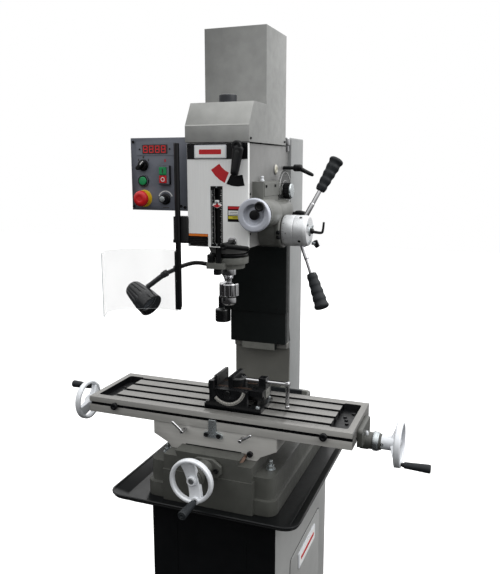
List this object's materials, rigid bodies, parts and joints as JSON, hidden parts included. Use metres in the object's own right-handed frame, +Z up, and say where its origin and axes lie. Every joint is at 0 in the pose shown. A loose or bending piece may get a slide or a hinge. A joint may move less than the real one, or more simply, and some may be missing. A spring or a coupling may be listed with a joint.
{
  "type": "vertical milling machine",
  "caption": "Bench mill on a cabinet stand: geared head on a dovetail column, cross-slide table with T-slots, capstan quill feed, chip guard, lamp, control box and tilting vise.",
  "frame": {"origin": "on the floor under the middle of the cabinet stand", "axes": "+Z up, -Y towards the operator in front of the table, +X to the operator's right, along the table"},
  "size_m": [1.1971, 0.8548, 2.113],
  "materials": {
    "sheet_paint": "satin grey sheet steel",
    "cast_paint": "satin dark grey over cast iron",
    "tray_enamel": "gloss black enamel",
    "box_paint": "textured blue-grey",
    "black_paint": "satin black",
    "machined_iron": "ground and scraped",
    "steel": "turned and ground",
    "chrome": "bright",
    "wheel_alloy": "satin",
    "grip_rubber": "dark grey, slightly soft",
    "black_plastic": "moulded black",
    "red_plastic": "moulded red",
    "green_plastic": "moulded green",
    "clear_guard": "clear sheet"
  },
  "bodies": {
    "frame": {"cabinet_stand": "sheet_paint", "chip_tray": "tray_enamel", "machine_base": "cast_paint", "column": "sheet_paint", "y_screw_bracket": "cast_paint", "lower_way_cover": "black_paint"},
    "door": {"cabinet_door": "sheet_paint"},
    "crank": {"elevation_crank": "grip_rubber"},
    "z_screw": {"z_leadscrew": "steel"},
    "head": {"head_casting": "cast_paint", "motor_hood": "sheet_paint", "motor": "black_paint", "upper_way_cover": "black_paint", "control_box": "box_paint", "guard_holder": "black_paint", "lamp_stand": "black_paint"},
    "y_drive": {"y_leadscrew": "steel", "front_handwheel": "wheel_alloy"},
    "front_grip": {"front_wheel_grip": "grip_rubber"},
    "saddle": {"saddle": "machined_iron"},
    "left_lock": {"saddle_lock_left": "chrome"},
    "right_lock": {"saddle_lock_right": "chrome"},
    "table": {"table": "machined_iron", "left_end_bracket": "cast_paint", "right_end_bracket": "cast_paint", "vise_base": "black_paint"},
    "x_drive": {"x_leadscrew": "steel", "right_handwheel": "wheel_alloy", "left_handwheel": "wheel_alloy"},
    "right_grip": {"right_wheel_grip": "grip_rubber"},
    "left_grip": {"left_wheel_grip": "grip_rubber"},
    "left_dog": {"stop_dog_left": "black_plastic"},
    "right_dog": {"stop_dog_right": "black_plastic"},
    "vise_tilter": {"vise_body": "black_paint"},
    "vise_slider": {"vise_jaw": "black_paint"},
    "vise_spindle": {"vise_screw": "chrome"},
    "quill": {"quill": "steel", "depth_stop_clamp": "cast_paint"},
    "spindle": {"spindle": "steel", "drill_chuck": "chrome"},
    "gear": {"drive_gear": "steel"},
    "pinion": {"motor_pinion": "steel"},
    "capstan": {"capstan_hub": "wheel_alloy", "capstan_handle_upper": "grip_rubber", "capstan_handle_lower": "grip_rubber"},
    "engage": {"engage_lever": "black_plastic"},
    "fine_feed": {"fine_feed_wheel": "wheel_alloy"},
    "feed_dial": {"feed_dial_knob": "black_plastic"},
    "gear_selector": {"gear_lever": "black_plastic"},
    "quill_lock": {"quill_lock_lever": "black_plastic"},
    "head_lock": {"head_lock_lever": "black_plastic"},
    "selector": {"selector_knob": "black_plastic"},
    "speed": {"speed_knob": "black_plastic"},
    "start": {"start_button": "green_plastic"},
    "estop": {"estop_button": "red_plastic"},
    "on": {"switch_on": "green_plastic"},
    "off": {"switch_off": "red_plastic"},
    "post": {"guard_post": "black_paint"},
    "shield": {"guard_shield": "clear_guard"},
    "lamp": {"lamp_head": "black_paint"}
  },
  "joints": [
    {"name": "door_swing", "type": "hinge", "parent": "frame", "child": "door", "pos_m": [0.1995, 0.198, 0.3], "axis": [0, 0, 1], "range_deg": [0, 110]},
    {"name": "crank_turn", "type": "hinge", "parent": "frame", "child": "crank", "pos_m": [-0.11, 0.212, 1.728], "axis": [1, 0, 0], "range_deg": [-25521, 9222]},
    {"name": "z_screw_turn", "type": "hinge", "parent": "frame", "child": "z_screw", "pos_m": [0, 0.136, 1.4], "axis": [0, 0, 1], "range_deg": [-25521, 9222]},
    {"name": "head_slide", "type": "slide", "parent": "frame", "child": "head", "axis": [0, 0, 1], "range_m": [-0.18, 0.065]},
    {"name": "front_wheel_turn", "type": "hinge", "parent": "frame", "child": "y_drive", "pos_m": [0, -0.425, 0.889], "axis": [0, 1, 0], "range_deg": [-14182, 14182]},
    {"name": "saddle_slide", "type": "slide", "parent": "frame", "child": "saddle", "axis": [0, 1, 0], "range_m": [-0.1, 0.1]},
    {"name": "front_grip_turn", "type": "hinge", "parent": "y_drive", "child": "front_grip", "pos_m": [0.0139, -0.47, 0.8369], "axis": [0, 1, 0], "continuous": true},
    {"name": "left_lock_turn", "type": "hinge", "parent": "saddle", "child": "left_lock", "pos_m": [-0.088, -0.29, 0.9685], "axis": [0, 1, 0], "range_deg": [-60, 60]},
    {"name": "right_lock_turn", "type": "hinge", "parent": "saddle", "child": "right_lock", "pos_m": [0.093, -0.29, 0.967], "axis": [0, 1, 0], "range_deg": [-60, 60]},
    {"name": "table_slide", "type": "slide", "parent": "saddle", "child": "table", "axis": [-1, 0, 0], "range_m": [-0.21, 0.21]},
    {"name": "long_screw_turn", "type": "hinge", "parent": "table", "child": "x_drive", "pos_m": [0.513, -0.16, 0.964], "axis": [1, 0, 0], "range_deg": [-29773, 29773]},
    {"name": "right_grip_turn", "type": "hinge", "parent": "x_drive", "child": "right_grip", "pos_m": [0.56, -0.1911, 0.9199], "axis": [1, 0, 0], "continuous": true},
    {"name": "left_grip_turn", "type": "hinge", "parent": "x_drive", "child": "left_grip", "pos_m": [-0.555, -0.1144, 0.993], "axis": [1, 0, 0], "continuous": true},
    {"name": "left_dog_slide", "type": "slide", "parent": "table", "child": "left_dog", "axis": [1, 0, 0], "range_m": [0, 0.28]},
    {"name": "right_dog_slide", "type": "slide", "parent": "table", "child": "right_dog", "axis": [1, 0, 0], "range_m": [-0.28, 0]},
    {"name": "vise_tilt", "type": "hinge", "parent": "table", "child": "vise_tilter", "pos_m": [0.028, -0.178, 1.097], "axis": [0, -1, 0], "range_deg": [0, 45]},
    {"name": "vise_jaw_slide", "type": "slide", "parent": "vise_tilter", "child": "vise_slider", "axis": [1, 0, 0], "range_m": [-0.033, 0.034]},
    {"name": "vise_screw_turn", "type": "hinge", "parent": "vise_slider", "child": "vise_spindle", "pos_m": [0.1, -0.178, 1.106], "axis": [1, 0, 0], "range_deg": [-3950, 4070]},
    {"name": "quill_slide", "type": "slide", "parent": "head", "child": "quill", "axis": [0, 0, -1], "range_m": [0, 0.109]},
    {"name": "spindle_turn", "type": "hinge", "parent": "quill", "child": "spindle", "pos_m": [0, -0.151, 1.5], "axis": [0, 0, 1], "continuous": true},
    {"name": "drive_gear_turn", "type": "hinge", "parent": "head", "child": "gear", "pos_m": [0, -0.151, 1.75], "axis": [0, 0, 1], "continuous": true},
    {"name": "motor_pinion_turn", "type": "hinge", "parent": "head", "child": "pinion", "pos_m": [0, -0.03, 1.75], "axis": [0, 0, 1], "continuous": true},
    {"name": "capstan_turn", "type": "hinge", "parent": "head", "child": "capstan", "pos_m": [0.19, -0.1, 1.543], "axis": [1, 0, 0], "range_deg": [0, 435.9]},
    {"name": "engage_turn", "type": "hinge", "parent": "capstan", "child": "engage", "pos_m": [0.235, -0.1, 1.543], "axis": [1, 0, 0], "range_deg": [-25, 25]},
    {"name": "fine_feed_turn", "type": "hinge", "parent": "head", "child": "fine_feed", "pos_m": [0.1235, -0.27, 1.597], "axis": [0, 1, 0], "continuous": true},
    {"name": "feed_dial_turn", "type": "hinge", "parent": "head", "child": "feed_dial", "pos_m": [0.13, 0, 1.652], "axis": [1, 0, 0], "range_deg": [-150, 150]},
    {"name": "gear_lever_swing", "type": "hinge", "parent": "head", "child": "gear_selector", "pos_m": [0.066, -0.25, 1.779], "axis": [0, 1, 0], "range_deg": [0, 32]},
    {"name": "quill_lock_swing", "type": "hinge", "parent": "head", "child": "quill_lock", "pos_m": [0.045, -0.25, 1.518], "axis": [0, 1, 0], "range_deg": [-25, 60]},
    {"name": "head_lock_swing", "type": "hinge", "parent": "head", "child": "head_lock", "pos_m": [0.12, 0.092, 1.72], "axis": [1, 0, 0], "range_deg": [-60, 60]},
    {"name": "selector_turn", "type": "hinge", "parent": "head", "child": "selector", "pos_m": [-0.2415, -0.22, 1.728], "axis": [0, 1, 0], "range_deg": [-45, 45]},
    {"name": "speed_turn", "type": "hinge", "parent": "head", "child": "speed", "pos_m": [-0.172, -0.22, 1.632], "axis": [0, 1, 0], "range_deg": [-150, 150]},
    {"name": "start_press", "type": "slide", "parent": "head", "child": "start", "axis": [0, 1, 0], "range_m": [0, 0.003], "stiffness_N_per_m": 300},
    {"name": "estop_press", "type": "slide", "parent": "head", "child": "estop", "axis": [0, 1, 0], "range_m": [0, 0.005]},
    {"name": "on_press", "type": "slide", "parent": "head", "child": "on", "axis": [0, 1, 0], "range_m": [0, 0.003], "stiffness_N_per_m": 300},
    {"name": "off_press", "type": "slide", "parent": "head", "child": "off", "axis": [0, 1, 0], "range_m": [0, 0.003], "stiffness_N_per_m": 300},
    {"name": "guard_post_slide", "type": "slide", "parent": "head", "child": "post", "axis": [0, 0, 1], "range_m": [-0.05, 0.02]},
    {"name": "guard_swing", "type": "hinge", "parent": "post", "child": "shield", "pos_m": [-0.119, -0.24, 1.4], "axis": [0, 0, 1], "range_deg": [0, 100]},
    {"name": "lamp_tilt", "type": "hinge", "parent": "head", "child": "lamp", "pos_m": [-0.2528, -0.09, 1.3868], "axis": [0, 1, 0], "range_deg": [-15, 30]}
  ],
  "couplings": [
    {"joint": "crank_turn", "follows": "head_slide", "rad_per_m": 2473.7},
    {"joint": "z_screw_turn", "follows": "head_slide", "rad_per_m": 2473.7},
    {"joint": "front_wheel_turn", "follows": "saddle_slide", "rad_per_m": 2473.7},
    {"joint": "long_screw_turn", "follows": "table_slide", "rad_per_m": 2473.7},
    {"joint": "quill_slide", "follows": "capstan_turn", "m_per_rad": 0.014324},
    {"joint": "spindle_turn", "follows": "drive_gear_turn", "ratio": 1},
    {"joint": "motor_pinion_turn", "follows": "drive_gear_turn", "ratio": -1.5},
    {"joint": "vise_jaw_slide", "follows": "vise_screw_turn", "m_per_rad": 0.00047746}
  ]
}
